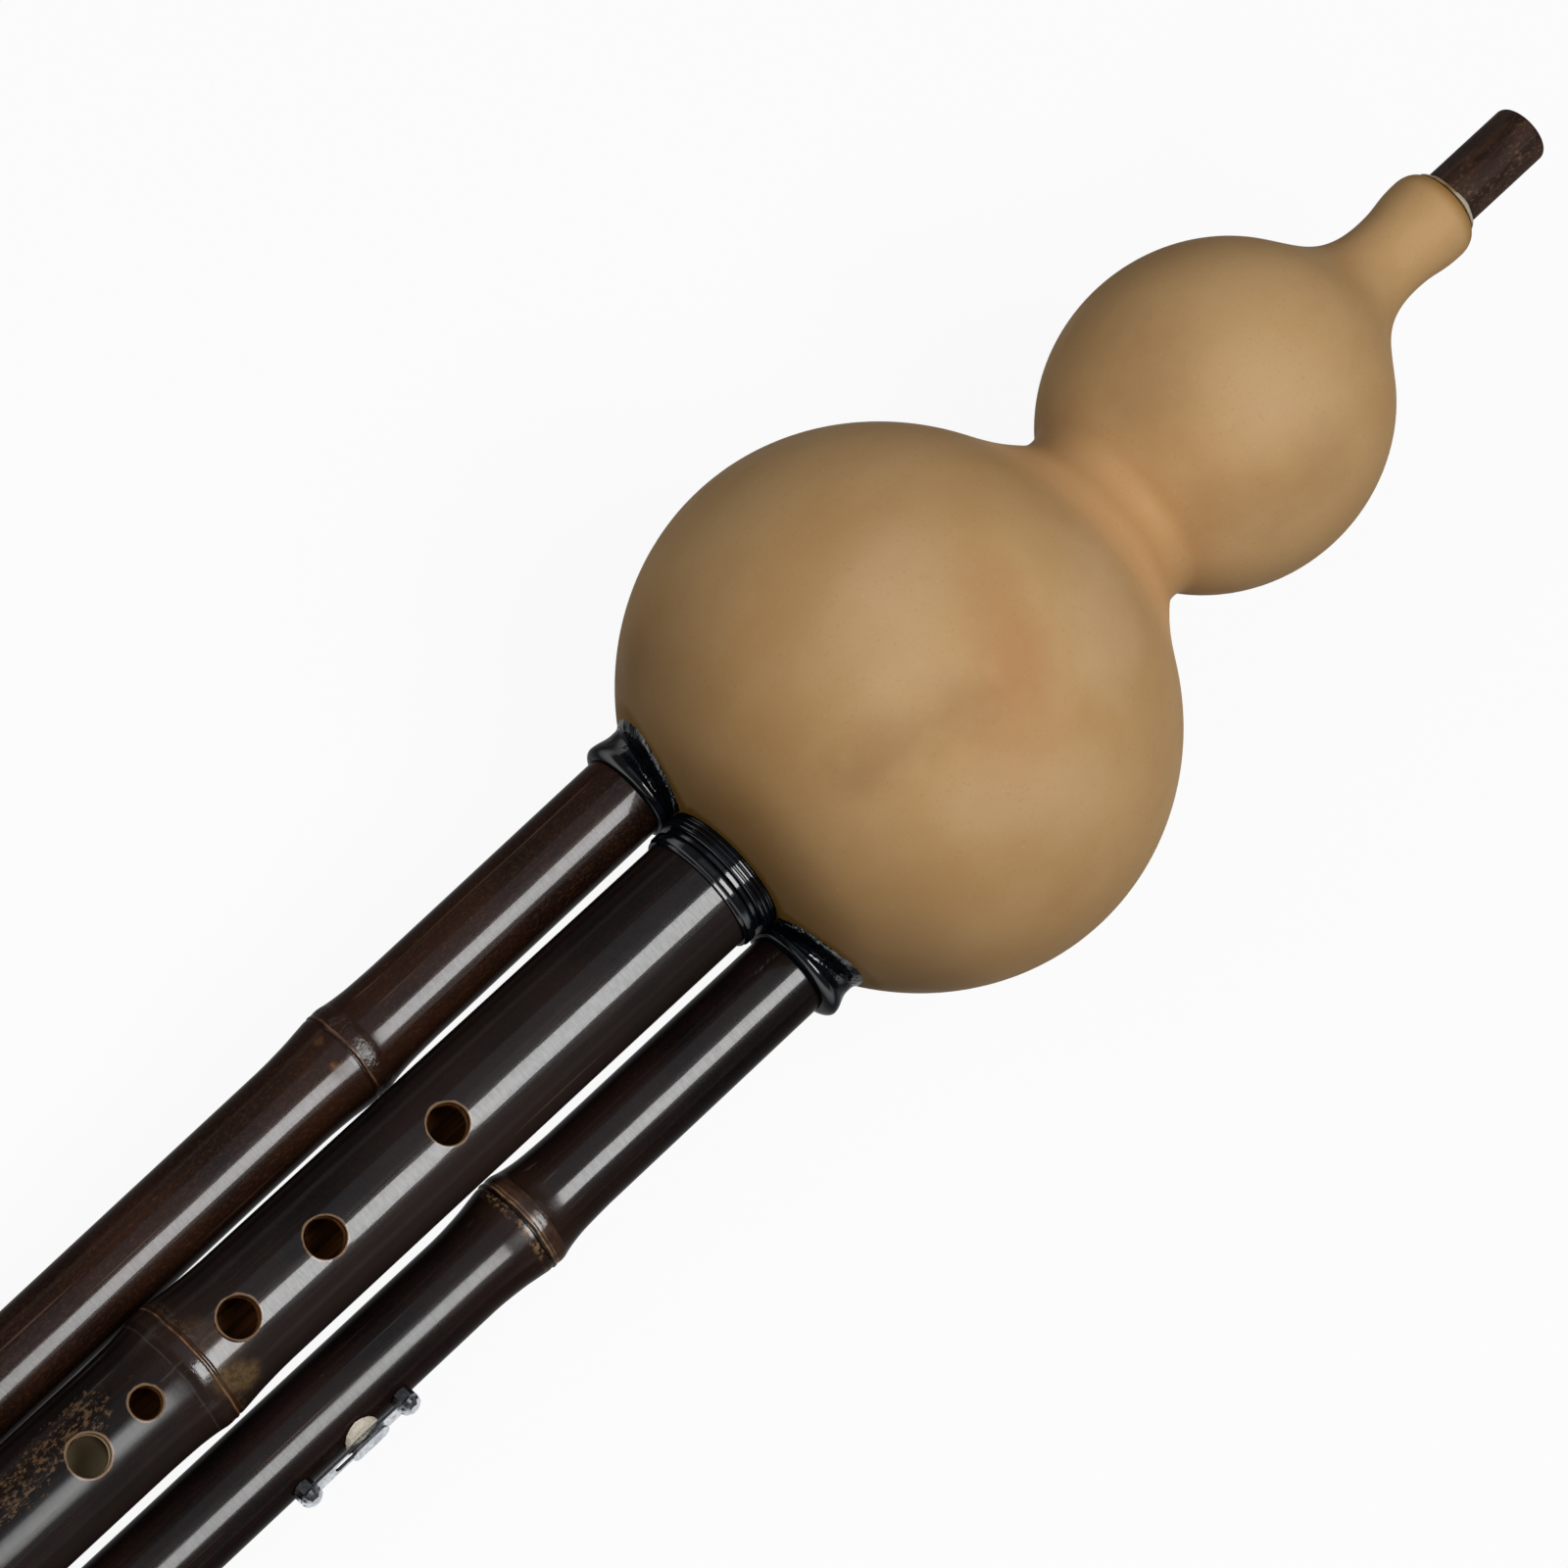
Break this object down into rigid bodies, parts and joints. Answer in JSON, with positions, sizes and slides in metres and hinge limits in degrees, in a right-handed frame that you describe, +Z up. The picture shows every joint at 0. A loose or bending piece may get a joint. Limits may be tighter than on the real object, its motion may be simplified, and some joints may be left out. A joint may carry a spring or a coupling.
{
  "type": "gourd flute",
  "caption": "Gourd flute with a double-bulb wind chest and mouthpiece, a melody pipe with finger holes and a drone pipe on each side, one with a sliding key.",
  "frame": {"origin": "centre of the footprint on the ground, below the flute as it lies on its back", "axes": "+X towards the mouthpiece, +Y towards the drone without the key, +Z up on the side of the finger holes"},
  "size_m": [0.4094, 0.0868, 0.0867],
  "materials": {
    "gourd_skin": "matt, smooth natural gourd",
    "dark_bamboo": "polished dark bamboo",
    "mouthpiece_bamboo": "matt dark bamboo",
    "black_resin": "glossy",
    "pale_glue": "matt",
    "cork": "matt cork",
    "reed_brass": "satin",
    "rubber_plug": "matt",
    "key_chrome": "polished",
    "key_pad": "soft pale leather"
  },
  "bodies": {
    "wind_chest": {"gourd_shell": "gourd_skin", "mouthpiece_tube": "mouthpiece_bamboo", "mouthpiece_seal": "pale_glue", "socket_base": "black_resin", "left_drone_pipe": "dark_bamboo", "left_collar": "black_resin", "left_reed": "reed_brass", "left_plug": "cork", "right_drone_pipe": "dark_bamboo", "right_collar": "black_resin", "right_reed": "reed_brass", "right_plug": "cork", "right_foot_plug": "rubber_plug", "key_rail": "key_chrome", "key_screw_upper": "key_chrome", "key_screw_lower": "key_chrome"},
    "melody_pipe": {"melody_pipe": "dark_bamboo", "melody_ferrule": "black_resin", "melody_reed": "reed_brass", "melody_plug": "cork", "tenon_seal_lower": "cork", "tenon_seal_upper": "cork"},
    "key_slider": {"key_slider": "key_chrome", "key_pad": "key_pad"}
  },
  "joints": [
    {"name": "melody_pipe_pull", "type": "slide", "parent": "wind_chest", "child": "melody_pipe", "axis": [-0.9922, 0, -0.1247], "range_m": [0, 0.06]},
    {"name": "key_slide", "type": "slide", "parent": "wind_chest", "child": "key_slider", "axis": [-0.9922, 0, -0.1247], "range_m": [0, 0.0055]}
  ]
}
